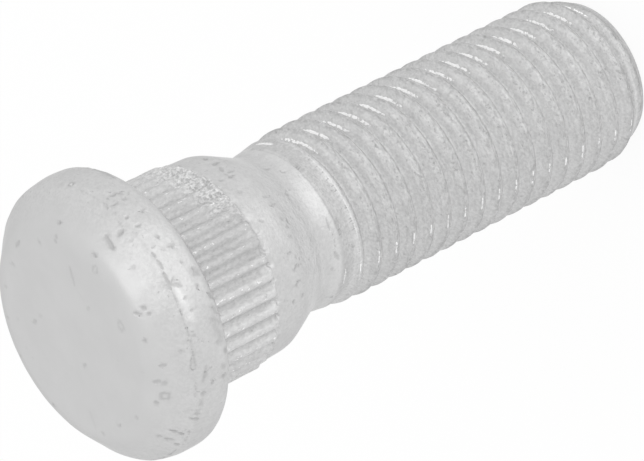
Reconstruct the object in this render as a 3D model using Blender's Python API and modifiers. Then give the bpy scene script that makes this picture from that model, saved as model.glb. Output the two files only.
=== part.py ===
"""Press-in wheel stud: a round-headed, serrated bolt with a rolled metric thread.

One steel forging, standing on its threaded end with the head up. The origin is the centre of
the end face, +Z runs up the stud's axis, and lengths are in metres.
"""

import math

import bmesh
import bpy
from mathutils import Matrix

MM = 0.001

# Whole stud
STUD_LENGTH = 44.75 * MM

# Head, cold-forged, with a coined shoulder above a rounded rim
HEAD_DIAMETER = 18.9 * MM
HEAD_HEIGHT = 4.75 * MM
FACE_DIAMETER = 14.2 * MM
FACE_EDGE_RADIUS = 0.85 * MM
SHOULDER_HEIGHT = 2.1 * MM
CREASE_INSET = 0.17 * MM
CREASE_RADIUS = 0.7 * MM
RIM_CROWN_HEIGHT = 1.15 * MM
RIM_CROWN_RADIUS = 3.0 * MM
RIM_BACK_RADIUS = 0.8 * MM
HEAD_ROOT_RADIUS = 0.25 * MM

# Serrated band that is pressed into the hub
SERRATION_DIAMETER = 14.06 * MM
SERRATION_COUNT = 38
SERRATION_DEPTH = 0.35 * MM
SERRATION_LENGTH = 5.9 * MM
SERRATION_LEAD = 0.15 * MM
SERRATION_CREST = 0.49 * MM
SERRATION_FLOOR = 0.19 * MM
# Place of the first crest, as a share of a tooth on from +X
SERRATION_PHASE = 0.5

# Plain collar and waist between the serrations and the thread
COLLAR_STEP = 0.2 * MM
COLLAR_DRAFT = 0.1 * MM
COLLAR_LENGTH = 2.2 * MM
COLLAR_RADIUS = 2.2 * MM
WAIST_LENGTH = 2.9 * MM
WAIST_DEPTH = 0.17 * MM
WAIST_RADIUS = 1.2 * MM
FLARE_LENGTH = 1.15 * MM

# Rolled M12 x 1.5 thread, right hand. Its form follows its pitch, as the metric thread's does,
# and its crest rises above the blank that it was rolled on.
THREAD_DIAMETER = 11.76 * MM
THREAD_PITCH = 1.5 * MM
THREAD_DEPTH = 0.56 * THREAD_PITCH
THREAD_CREST = 0.207 * THREAD_PITCH
THREAD_RISE = 0.45 * THREAD_DEPTH
THREAD_FLANK_ANGLE = math.radians(30)
THREAD_PHASE = 0.96 * MM
RUN_OUT_LENGTH = 2.5 * MM

# Threaded end
END_TAPER_LENGTH = 2.1 * MM
END_TAPER_DEPTH = 0.98 * MM
END_SHOULDER_RADIUS = 2.7 * MM
END_FACE_RADIUS = 0.55 * MM

# How far hidden surfaces reach past the ones that they must cross
OVERLAP = 0.1 * MM
# How far the thread stays inside the blank where it starts, so that the two never share a face
INSET = 0.02 * MM
# Points this close are one point
WELD = 0.001 * MM

# Two columns of faces to each serration, so that the grooves sit on whole columns
COLUMNS = 2 * SERRATION_COUNT
THREAD_STEPS = 32
ARC_STEP = math.radians(30)

STEEL_COLOUR = (0.56, 0.56, 0.56, 1.0)
STEEL_ROUGHNESS = 0.42


def new_collection(name):
    """Makes a collection in the scene."""
    collection = bpy.data.collections.new(name)
    bpy.context.scene.collection.children.link(collection)
    return collection


def mesh_object(name, mesh, collection):
    """Makes an object of a mesh."""
    obj = bpy.data.objects.new(name, mesh)
    collection.objects.link(obj)
    return obj


def make_guide(obj):
    """Marks a cutter or another tool that isn't part of the stud."""
    obj.hide_render = True
    obj.display_type = "WIRE"


def evaluated_mesh(obj):
    """The mesh of an object with its modifiers applied, in the object's own frame."""
    bpy.context.view_layer.update()
    graph = bpy.context.evaluated_depsgraph_get()
    return bpy.data.meshes.new_from_object(obj.evaluated_get(graph), depsgraph=graph)


def corner_arc(before, corner, after, radius):
    """Points that round a corner of an outline, or the corner itself.

    The radius gives way where the two sides are too short for it.
    """
    sides = [(p[0] - corner[0], p[1] - corner[1]) for p in (before, after)]
    lengths = [math.hypot(*side) for side in sides]
    units = [(side[0] / length, side[1] / length) for side, length in zip(sides, lengths)]
    cosine = units[0][0] * units[1][0] + units[0][1] * units[1][1]
    half_angle = math.acos(max(-1.0, min(1.0, cosine))) / 2
    reach = min(radius / math.tan(half_angle), 0.49 * min(lengths))
    if reach < INSET:
        return [corner]
    radius = reach * math.tan(half_angle)
    middle = (units[0][0] + units[1][0], units[0][1] + units[1][1])
    scale = radius / math.sin(half_angle) / math.hypot(*middle)
    centre = (corner[0] + middle[0] * scale, corner[1] + middle[1] * scale)
    ends = [(corner[0] + u[0] * reach - centre[0], corner[1] + u[1] * reach - centre[1])
            for u in units]
    cross = ends[0][0] * ends[1][1] - ends[0][1] * ends[1][0]
    turn = math.atan2(cross, ends[0][0] * ends[1][0] + ends[0][1] * ends[1][1])
    steps = max(1, math.ceil(abs(turn) / ARC_STEP))
    points = []
    for step in range(steps + 1):
        angle = turn * step / steps
        points.append((
            centre[0] + ends[0][0] * math.cos(angle) - ends[0][1] * math.sin(angle),
            centre[1] + ends[0][0] * math.sin(angle) + ends[0][1] * math.cos(angle),
        ))
    return points


def rounded_outline(corners):
    """Turns corners of (radius, height, rounding) into the points of an outline."""
    points = [corners[0][:2]]
    for before, corner, after in zip(corners, corners[1:], corners[2:]):
        if corner[2] > 0:
            points += corner_arc(before[:2], corner[:2], after[:2], corner[2])
        else:
            points.append(corner[:2])
    points.append(corners[-1][:2])
    return points


def outline_mesh(name, points):
    """Makes a mesh of edges through (radius, height) points, on the +X side of the axis."""
    mesh = bpy.data.meshes.new(name)
    edges = [(i, i + 1) for i in range(len(points) - 1)]
    mesh.from_pydata([(radius, 0.0, height) for radius, height in points], edges, [])
    return mesh


def add_turning(obj, steps, pitch=0.0, turns=1):
    """Turns an outline about Z, and climbs by the pitch at each turn."""
    screw = obj.modifiers.new("turning", "SCREW")
    screw.axis = "Z"
    screw.angle = math.tau
    screw.screw_offset = pitch
    screw.iterations = turns
    screw.steps = steps
    screw.render_steps = steps
    screw.use_merge_vertices = pitch == 0.0
    screw.merge_threshold = WELD


def add_boolean(obj, operation, other):
    """Joins, cuts or crosses one solid with another."""
    boolean = obj.modifiers.new(operation.lower(), "BOOLEAN")
    boolean.operation = operation
    boolean.solver = "EXACT"
    boolean.object = other


def below_face(depth):
    """Height of a station that is a given depth below the head's face."""
    return STUD_LENGTH - depth


def serration_end_depth():
    """Depth at which the serrations end, below the head's face."""
    return HEAD_HEIGHT + SERRATION_LENGTH


def collar_end_depth():
    """Depth at which the collar starts to draw in to the waist."""
    return serration_end_depth() + SERRATION_LEAD + COLLAR_LENGTH


def thread_start_depth():
    """Depth at which the flare below the waist meets the rolled length."""
    return collar_end_depth() + WAIST_LENGTH + FLARE_LENGTH


def crest_radius():
    """Radius of the thread's crests."""
    return THREAD_DIAMETER / 2


def blank_radius():
    """Radius of the blank that the thread was rolled on."""
    return crest_radius() - THREAD_RISE


def blank_corners():
    """Corners of the turned blank: the head, the plain parts and the cone of the run-out.

    The cone sinks into the threaded rod, and fills its grooves less and less on the way down.
    """
    bearing = below_face(HEAD_HEIGHT)
    crease = below_face(SHOULDER_HEIGHT)
    serration_end = below_face(serration_end_depth())
    collar_end = below_face(collar_end_depth())
    thread_start = below_face(thread_start_depth())
    run_out_end = thread_start - RUN_OUT_LENGTH
    head = HEAD_DIAMETER / 2
    serration = SERRATION_DIAMETER / 2
    collar = serration - COLLAR_STEP
    core = crest_radius() - THREAD_DEPTH - OVERLAP
    return [
        (0.0, STUD_LENGTH, 0.0),
        (FACE_DIAMETER / 2, STUD_LENGTH, FACE_EDGE_RADIUS),
        (head - CREASE_INSET, crease, CREASE_RADIUS),
        (head, crease - RIM_CROWN_HEIGHT, RIM_CROWN_RADIUS),
        (head, bearing, RIM_BACK_RADIUS),
        (serration, bearing, HEAD_ROOT_RADIUS),
        (serration, serration_end, 0.0),
        (collar, serration_end - SERRATION_LEAD, 0.0),
        (collar - COLLAR_DRAFT, collar_end, COLLAR_RADIUS),
        (blank_radius() - WAIST_DEPTH, collar_end - WAIST_LENGTH, WAIST_RADIUS),
        (blank_radius(), thread_start, 0.0),
        (core, run_out_end, 0.0),
        (0.0, run_out_end, 0.0),
    ]


def build_blank(collection):
    """Turns the blank from its outline."""
    outline = outline_mesh("wheel_stud", rounded_outline(blank_corners()))
    blank = mesh_object("wheel_stud", outline, collection)
    add_turning(blank, COLUMNS)
    return blank


def serration_outline():
    """Inner outline of the ring that cuts the grooves, as (x, y) points.

    Over each crest the ring stays clear of the blank, and between crests it reaches the floor.
    """
    top_radius = SERRATION_DIAMETER / 2
    floor_radius = top_radius - SERRATION_DEPTH
    tooth_angle = math.tau / SERRATION_COUNT
    crest_half = SERRATION_CREST / top_radius / 2
    floor_half = SERRATION_FLOOR / floor_radius / 2
    flank_slope = (tooth_angle / 2 - crest_half - floor_half) / SERRATION_DEPTH
    clear_half = crest_half - flank_slope * OVERLAP
    outline = []
    for tooth in range(SERRATION_COUNT):
        crest_angle = tooth_angle * (tooth + SERRATION_PHASE)
        groove_angle = crest_angle + tooth_angle / 2
        for angle, radius in (
            (crest_angle - clear_half, top_radius + OVERLAP),
            (crest_angle + clear_half, top_radius + OVERLAP),
            (groove_angle - floor_half, floor_radius),
            (groove_angle + floor_half, floor_radius),
        ):
            outline.append((radius * math.cos(angle), radius * math.sin(angle)))
    return outline


def build_serration_cutter(collection):
    """Makes the toothed ring that cuts every groove at once, from a flat outline."""
    outer_radius = SERRATION_DIAMETER / 2 + 10 * OVERLAP
    outer = [(outer_radius * math.cos(math.tau * i / SERRATION_COUNT),
              outer_radius * math.sin(math.tau * i / SERRATION_COUNT))
             for i in range(SERRATION_COUNT)]
    top = below_face(HEAD_HEIGHT) - HEAD_ROOT_RADIUS
    bottom = below_face(serration_end_depth()) - SERRATION_LEAD
    curve = bpy.data.curves.new("serration_ring", "CURVE")
    curve.dimensions = "2D"
    curve.fill_mode = "BOTH"
    curve.extrude = (top - bottom) / 2
    for outline in (outer, serration_outline()):
        spline = curve.splines.new("POLY")
        spline.points.add(len(outline) - 1)
        for point, (x, y) in zip(spline.points, outline):
            point.co = (x, y, 0.0, 1.0)
        spline.use_cyclic_u = True
    flat = mesh_object("serration_ring_outline", curve, collection)
    mesh = evaluated_mesh(flat)
    bpy.data.objects.remove(flat)
    bm = bmesh.new()
    bm.from_mesh(mesh)
    bmesh.ops.remove_doubles(bm, verts=bm.verts, dist=WELD)
    bmesh.ops.recalc_face_normals(bm, faces=bm.faces)
    bm.to_mesh(mesh)
    bm.free()
    mesh.transform(Matrix.Translation((0.0, 0.0, (top + bottom) / 2)))
    ring = mesh_object("serration_ring", mesh, collection)
    make_guide(ring)
    return ring


def build_thread_trimmer(collection):
    """Turns the solid that trims the thread to its run-out and to the end's taper."""
    thread_start = below_face(thread_start_depth())
    clear = crest_radius() + OVERLAP
    end_face = crest_radius() - END_TAPER_DEPTH
    run_out_slope = THREAD_RISE / RUN_OUT_LENGTH
    end_slope = END_TAPER_DEPTH / END_TAPER_LENGTH
    top = thread_start + 2 * OVERLAP
    top_radius = blank_radius() - INSET - run_out_slope * (top - thread_start)
    corners = [
        (0.0, top, 0.0),
        (top_radius, top, 0.0),
        (clear, top - (clear - top_radius) / run_out_slope, 0.0),
        (clear, (clear - end_face) / end_slope, END_SHOULDER_RADIUS),
        (end_face, 0.0, END_FACE_RADIUS),
        (0.0, 0.0, 0.0),
    ]
    outline = outline_mesh("thread_trimmer", rounded_outline(corners))
    trimmer = mesh_object("thread_trimmer", outline, collection)
    # Turned by half a face, so that its edges cross the thread's faces and not their edges
    trimmer.rotation_euler.z = math.pi / THREAD_STEPS
    add_turning(trimmer, THREAD_STEPS)
    make_guide(trimmer)
    return trimmer


def thread_section():
    """One pitch of the thread, as (radius, height) points from mid-groove to mid-groove."""
    crest = crest_radius()
    root = crest - THREAD_DEPTH
    crest_half = THREAD_CREST / 2
    root_half = THREAD_PITCH / 2 - crest_half - THREAD_DEPTH * math.tan(THREAD_FLANK_ANGLE)
    middle = THREAD_PITCH / 2
    return [
        (root, 0.0),
        (root, root_half),
        (crest, middle - crest_half),
        (crest, middle + crest_half),
        (root, THREAD_PITCH - root_half),
        (root, THREAD_PITCH),
    ]


def build_threaded_rod(collection, trimmer):
    """Winds the thread as one helical skin, closes its two ends and trims it."""
    outline = outline_mesh("thread_section", thread_section())
    wound = mesh_object("thread_section", outline, collection)
    start = THREAD_PHASE - THREAD_PITCH / 2 - 2 * THREAD_PITCH
    turns = math.ceil((below_face(thread_start_depth()) - start) / THREAD_PITCH) + 1
    add_turning(wound, THREAD_STEPS, THREAD_PITCH, turns)
    mesh = evaluated_mesh(wound)
    bpy.data.objects.remove(wound)
    bm = bmesh.new()
    bm.from_mesh(mesh)
    bmesh.ops.remove_doubles(bm, verts=bm.verts, dist=WELD)
    open_edges = [edge for edge in bm.edges if edge.is_boundary]
    ends = bmesh.ops.holes_fill(bm, edges=open_edges, sides=0)["faces"]
    for centre in bmesh.ops.poke(bm, faces=ends)["verts"]:
        centre.co.x = 0.0
        centre.co.y = 0.0
    bmesh.ops.recalc_face_normals(bm, faces=bm.faces)
    bm.to_mesh(mesh)
    bm.free()
    mesh.transform(Matrix.Translation((0.0, 0.0, start)))
    rod = mesh_object("threaded_rod", mesh, collection)
    add_boolean(rod, "INTERSECT", trimmer)
    make_guide(rod)
    return rod


def steel_material():
    """Plain forged and rolled steel with a dull zinc finish."""
    material = bpy.data.materials.new("zinc_plated_steel")
    material.use_nodes = True
    shader = material.node_tree.nodes["Principled BSDF"]
    shader.inputs["Base Color"].default_value = STEEL_COLOUR
    shader.inputs["Metallic"].default_value = 1.0
    shader.inputs["Roughness"].default_value = STEEL_ROUGHNESS
    return material


def main():
    """Builds the stud."""
    for obj in list(bpy.data.objects):
        bpy.data.objects.remove(obj)
    parts = new_collection("wheel_stud")
    tools = new_collection("cutters")

    stud = build_blank(parts)
    rod = build_threaded_rod(tools, build_thread_trimmer(tools))
    add_boolean(stud, "DIFFERENCE", build_serration_cutter(tools))
    add_boolean(stud, "UNION", rod)

    stud.data = evaluated_mesh(stud)
    stud.modifiers.clear()
    stud.data.name = "wheel_stud"
    stud.data.shade_smooth()
    stud.data.set_sharp_from_angle(angle=math.radians(30))
    stud.data.materials.append(steel_material())


main()
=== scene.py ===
"""Looks of a press-in wheel bolt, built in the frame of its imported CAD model.

The visible stud is one closed forging that stands on its threaded end: a coined and pitted head, a
serrated band, a plain neck and a rolled thread. Sizes in the classes are millimetres. A depth runs
down the axis from the head's outer face, and a turn in degrees runs clockwise from +X as seen from
above, so that turns from 0 to 180 are the side that the photograph shows.
"""

import logging
import math
import random
from collections.abc import Callable
from dataclasses import dataclass, field
from enum import Enum
from functools import partial
from typing import Any, ClassVar

import bmesh
import bpy
import numpy as np
from bpy.types import Material, Mesh, Node, NodeSocket, NodeTree, Object
from mathutils import Matrix, Vector, noise


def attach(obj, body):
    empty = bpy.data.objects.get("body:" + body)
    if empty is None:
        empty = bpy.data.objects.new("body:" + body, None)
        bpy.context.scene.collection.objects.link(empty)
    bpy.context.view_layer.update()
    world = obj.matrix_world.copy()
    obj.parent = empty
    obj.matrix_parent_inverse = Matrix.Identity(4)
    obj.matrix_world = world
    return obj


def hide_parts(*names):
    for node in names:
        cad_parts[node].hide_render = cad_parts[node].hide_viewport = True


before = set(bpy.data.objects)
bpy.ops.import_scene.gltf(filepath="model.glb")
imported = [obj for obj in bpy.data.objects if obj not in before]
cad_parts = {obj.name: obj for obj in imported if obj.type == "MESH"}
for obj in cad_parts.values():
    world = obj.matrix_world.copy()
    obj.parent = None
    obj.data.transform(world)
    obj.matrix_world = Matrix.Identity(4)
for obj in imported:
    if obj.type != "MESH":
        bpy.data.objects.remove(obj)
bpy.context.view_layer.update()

log = logging.getLogger("wheel_bolt")

MM = 0.001
STUD_LENGTH = 44.75
PHOTO_WIDTH = 644
PHOTO_HEIGHT = 461

# How far the forged skin wanders, as a share of its radius, and over how many mm
UNEVENNESS = 0.01
SPOT_SIZE = 1.6

NODE = "wheel_stud"
BODY = "root"

# Names of the point attributes that the steel reads
# Darkening of the marks, negative where a nick is painted bright as a glint
STAIN = "stain"
CREST = "crest"
HOLLOW = "hollow"
FLANK = "flank"

# Kinds of node that come up most, with their operation after a colon
MATH = "ShaderNodeMath"
TIMES = "ShaderNodeMath:MULTIPLY"
PLUS = "ShaderNodeMath:ADD"
MINUS = "ShaderNodeMath:SUBTRACT"
SHARE_OF = "ShaderNodeMath:DIVIDE"
TIMES_PLUS = "ShaderNodeMath:MULTIPLY_ADD"
LARGER = "ShaderNodeMath:MAXIMUM"
PINGPONG = "ShaderNodeMath:PINGPONG"
ROUNDED = "ShaderNodeMath:ROUND"
FLOORED = "ShaderNodeMath:FLOOR"
BLENDED_MIN = "ShaderNodeMath:SMOOTH_MIN"
VECTOR_MATH = "ShaderNodeVectorMath"
MAP_RANGE = "ShaderNodeMapRange"
MIX = "ShaderNodeMix"
NOISE = "ShaderNodeTexNoise"
COMBINE = "ShaderNodeCombineXYZ"
SEPARATE = "ShaderNodeSeparateXYZ"


def add_node(tree: NodeTree, kind: str, inputs: dict[int | str, Any] | tuple[Any, ...] = (),
             **settings: Any) -> Node:
    """Adds a node to a tree with its settings, values and links.

    Args:
        tree: The tree that gets the node.
        kind: The node's type name, and after a colon its operation where it has one.
        inputs: What the inputs take, in their order, or by name or number: a value, an output
            socket, or a node that gives its first output.
        **settings: The node's own fields, set before its inputs.

    Returns:
        The new node.
    """
    type_name, _, operation = kind.partition(":")
    node = tree.nodes.new(type_name)
    for name, value in (settings | ({"operation": operation} if operation else {})).items():
        setattr(node, name, value)
    for key, value in (inputs if isinstance(inputs, dict) else dict(enumerate(inputs))).items():
        source = value.outputs[0] if isinstance(value, Node) else value
        if isinstance(source, NodeSocket):
            tree.links.new(source, node.inputs[key])
        else:
            node.inputs[key].default_value = source
    return node


def node_material(name: str) -> tuple[Material, Callable[..., Node]]:
    """Makes an empty material.

    Args:
        name: The material's name.

    Returns:
        The material, and what adds a node to its tree.
    """
    material = bpy.data.materials.new(name)
    material.use_nodes = True
    material.node_tree.nodes.clear()
    return material, partial(add_node, material.node_tree)


def linear_colour(hex_code: str) -> tuple[float, float, float, float]:
    """Turns an sRGB hex colour into linear values.

    Args:
        hex_code: Six hex digits after a hash.

    Returns:
        Linear red, green and blue, and an alpha of 1.
    """
    shares = [int(hex_code[i:i + 2], 16) / 255 for i in (1, 3, 5)]
    linear = [c / 12.92 if c <= 0.04045 else ((c + 0.055) / 1.055) ** 2.4 for c in shares]
    return (*linear, 1.0)


def per_mm(size: float) -> float:
    """Scale of a pattern on Object coordinates whose features are a size in mm."""
    return 1.0 / (size * MM)


def geometry_tree(name: str, inputs: dict[str, str]) -> tuple[NodeTree, Node]:
    """Makes a geometry tree with a geometry input, named inputs and a geometry output.

    Args:
        name: The tree's name.
        inputs: Socket types, by input name.

    Returns:
        The tree and its input node.
    """
    tree = bpy.data.node_groups.new(name, "GeometryNodeTree")
    tree.interface.new_socket("Geometry", in_out="INPUT", socket_type="NodeSocketGeometry")
    for label, kind in inputs.items():
        tree.interface.new_socket(label, in_out="INPUT", socket_type=f"NodeSocket{kind}")
    tree.interface.new_socket("Geometry", in_out="OUTPUT", socket_type="NodeSocketGeometry")
    return tree, add_node(tree, "NodeGroupInput")


def new_object(name: str, data: bpy.types.ID) -> Object:
    """Makes an object of some data and puts it in the scene.

    Args:
        name: The object's name.
        data: Its mesh, lamp or camera.

    Returns:
        The object.
    """
    made = bpy.data.objects.new(name, data)
    bpy.context.scene.collection.objects.link(made)
    return made


def run_tree(tree: NodeTree, mesh: Mesh, values: dict[str, Any]) -> Mesh:
    """Runs a geometry tree on a mesh and returns the plain mesh that it makes.

    Args:
        tree: The tree to run.
        mesh: The mesh that goes into it.
        values: Input values, by input name.

    Returns:
        The mesh that the tree makes.
    """
    obj = new_object(tree.name, mesh)
    modifier = obj.modifiers.new(tree.name, "NODES")
    modifier.node_group = tree
    for item in tree.interface.items_tree:
        if item.in_out == "INPUT" and item.name in values:
            modifier[item.identifier] = values[item.name]
    bpy.context.view_layer.update()
    graph = bpy.context.evaluated_depsgraph_get()
    made = bpy.data.meshes.new_from_object(obj.evaluated_get(graph), depsgraph=graph)
    obj.modifiers.clear()
    bpy.data.objects.remove(obj)
    return made


@dataclass(frozen=True)
class Corner:
    """One corner of a turned outline, in mm: its radius, its depth and its rounding."""

    radius: float
    depth: float
    rounding: float = 0.0


@dataclass(frozen=True)
class Outline:
    """A turned outline through corners, as points close enough together to look smooth."""

    corners: tuple[Corner, ...]
    step: float = 0.4
    arc_step: float = math.radians(7.5)
    chord: float = 0.1

    def arc(self, before: Corner, corner: Corner, after: Corner) -> list[tuple[float, float]]:
        """Rounds one corner.

        Args:
            before: The corner before it.
            corner: The corner to round.
            after: The corner after it.

        Returns:
            Points of (radius, depth) on the arc, or the corner itself where it is sharp.
        """
        here = Vector((corner.radius, corner.depth))
        sides = [Vector((c.radius, c.depth)) - here for c in (before, after)]
        half = sides[0].angle(sides[1]) / 2
        reach = min(corner.rounding / math.tan(half), 0.49 * min(s.length for s in sides))
        if corner.rounding <= 0 or reach < 0.01:
            return [tuple(here)]
        radius = reach * math.tan(half)
        units = [s.normalized() for s in sides]
        centre = here + (units[0] + units[1]).normalized() * (radius / math.sin(half))
        first = here + units[0] * reach - centre
        last = here + units[1] * reach - centre
        turn = math.atan2(first.cross(last), first.dot(last))
        steps = max(2, math.ceil(abs(turn) / max(self.arc_step, self.chord / radius)))
        return [tuple(centre + Matrix.Rotation(turn * i / steps, 2) @ first)
                for i in range(steps + 1)]

    def points(self) -> list[tuple[float, float]]:
        """Lays points along the whole outline.

        Returns:
            Every point as (radius, depth), in mm.
        """
        made = [(self.corners[0].radius, self.corners[0].depth)]
        for before, corner, after in zip(self.corners, self.corners[1:], self.corners[2:]):
            made += self.arc(before, corner, after)
        made.append((self.corners[-1].radius, self.corners[-1].depth))
        filled = [made[0]]
        for radius, depth in made[1:]:
            old = filled[-1]
            pieces = max(1, math.ceil(math.hypot(radius - old[0], depth - old[1]) / self.step))
            filled += [(old[0] + (radius - old[0]) * i / pieces,
                        old[1] + (depth - old[1]) * i / pieces) for i in range(1, pieces + 1)]
        return filled

    def mesh(self, name: str) -> Mesh:
        """Makes a mesh of the outline's points, in metres, on the +X side.

        Args:
            name: The mesh's name.

        Returns:
            A mesh of points and edges.
        """
        points = [(r * MM, 0.0, (STUD_LENGTH - d) * MM) for r, d in self.points()]
        mesh = bpy.data.meshes.new(name)
        mesh.from_pydata(points, [(i, i + 1) for i in range(len(points) - 1)], [])
        return mesh


class SkinTree:
    """Geometry tree that lays a grid about the axis, for its kinds to shape into a skin."""

    def __init__(self, name: str, counts: tuple[str, ...], sizes: tuple[str, ...]) -> None:
        """Starts the tree with its inputs.

        Args:
            name: The tree's name.
            counts: Names of its whole-number inputs.
            sizes: Names of its other number inputs.
        """
        self.tree, entry = geometry_tree(name, {
            **dict.fromkeys(counts, "Int"), **dict.fromkeys(sizes, "Float"),
            "Material": "Material"})
        self.add = partial(add_node, self.tree)
        self.given = entry.outputs
        self.count = self.add("GeometryNodeAttributeDomainSize", (self.given["Geometry"],))

    def lay(self, last: Node) -> None:
        """Lays the grid, and finds the row, the turn and the direction of its points.

        Args:
            last: The number of the last row.
        """
        add = self.add
        columns = add(PLUS, (self.given["Columns"], 1.0))
        rows = add(PLUS, (last, 1.0))
        self.grid = add("GeometryNodeMeshGrid", {
            "Size X": 1.0, "Size Y": 1.0, "Vertices X": columns, "Vertices Y": rows})
        self.place = add("GeometryNodeInputPosition")
        split = add(SEPARATE, (self.place,))
        self.turn = add(PLUS, (split, 0.5))
        share = add(PLUS, (split.outputs[1], 0.5))
        scaled = add(TIMES, (share, last))
        self.row = add(ROUNDED, (scaled,))
        angle = add(TIMES, (self.turn, math.tau))
        self.cosine, self.sine = (add(f"{MATH}:{way}", (angle,)) for way in ("COSINE", "SINE"))

    def sample(self, index: Node) -> Node:
        """Reads one point of the given mesh.

        Args:
            index: The point's number.

        Returns:
            A node that gives its X, Y and Z.
        """
        point = self.add("GeometryNodeSampleIndex", {
            "Geometry": self.given["Geometry"], "Value": self.place, "Index": index},
            data_type="FLOAT_VECTOR")
        return self.add(SEPARATE, (point,))

    def scatter(self, place: Node, size: str, detail: float) -> Node:
        """Makes a random field of soft spots about 0.

        Args:
            place: Where to read it.
            size: Name of the input that holds the size of its spots.
            detail: How much finer detail it has.

        Returns:
            The field.
        """
        scale = self.add(SHARE_OF, (1.0, self.given[size]))
        spots = self.add(NOISE, {"Vector": place, "Scale": scale, "Detail": detail})
        return self.add(MINUS, (spots, 0.5))

    def close(self, radius: Node, height: Node | NodeSocket,
              shares: dict[str, Node], gap: float) -> None:
        """Places the grid's points, closes its seam and poles, and ends the tree.

        Args:
            radius: Their distance from the axis.
            height: Their height.
            shares: What each of them keeps, by attribute name.
            gap: The distance in metres below which points become one.
        """
        add = self.add
        x, y = (add(TIMES, (radius, way)) for way in (self.cosine, self.sine))
        place = add(COMBINE, (x, y, height))
        shape = self.grid
        for name, value in shares.items():
            shape = add("GeometryNodeStoreNamedAttribute", {
                "Geometry": shape, "Name": name, "Value": value})
        placed = add("GeometryNodeSetPosition", {"Geometry": shape, "Position": place})
        closed = add("GeometryNodeMergeByDistance", {"Geometry": placed, "Distance": gap})
        plain = add("GeometryNodeRealizeInstances", (closed,))
        dressed = add("GeometryNodeSetMaterial", {
            "Geometry": plain, "Material": self.given["Material"]})
        add("NodeGroupOutput", (dressed,))


class TurnedSurface(SkinTree):
    """Geometry tree that turns an outline about the axis and may cut teeth into it."""

    def __init__(self) -> None:
        """Builds the tree."""
        super().__init__("turned_surface", ("Columns", "Teeth"), (
            "Tooth Phase", "Tooth Depth", "Crest Share", "Floor Share", "Teeth Top",
            "Teeth Bottom", "Fade", "End Wander", "Unevenness", "Spot Size"))
        add, given = self.add, self.given
        self.lay(add(MINUS, (self.count, 1.0)))
        outline = self.sample(self.row)
        height = outline.outputs[2]
        # The forging is never quite round, nor do its teeth end in one line
        way = add(COMBINE, (self.cosine, self.sine))
        level = add(VECTOR_MATH, {0: way, "Scale": outline}, operation="SCALE")
        rise = add(COMBINE, {2: height})
        wander = self.scatter(add(VECTOR_MATH, (level, rise), operation="ADD"), "Spot Size", 1.5)
        ends = add(TIMES_PLUS, (wander, given["End Wander"], height))
        # Distance from the nearest crest, as a share of a tooth
        teeth = add(TIMES, (self.turn, given["Teeth"]))
        moved = add(MINUS, (teeth, given["Tooth Phase"]))
        off = add(PINGPONG, (moved, 1.0))
        near = add(PINGPONG, (off, 0.5))
        groove = add(MAP_RANGE, (near, given["Crest Share"], given["Floor Share"]),
                     interpolation_type="SMOOTHERSTEP")
        # Teeth open below the band's top and close above its end
        below = add(MINUS, (given["Teeth Top"], given["Fade"]))
        above = add(PLUS, (given["Teeth Bottom"], given["Fade"]))
        opening = add(MAP_RANGE, (height, given["Teeth Top"], below),
                      interpolation_type="SMOOTHSTEP")
        closing = add(MAP_RANGE, (ends, given["Teeth Bottom"], above),
                      interpolation_type="SMOOTHSTEP")
        window = add(TIMES, (opening, closing))
        cut = add(TIMES, (groove, window))
        deep = add(TIMES, (cut, given["Tooth Depth"]))
        true_radius = add(MINUS, (outline, deep))
        uneven = add(TIMES, (wander, given["Unevenness"]))
        radius = add(TIMES_PLUS, (true_radius, uneven, true_radius))
        self.close(radius, height, {HOLLOW: cut}, 0.001 * MM)


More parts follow.
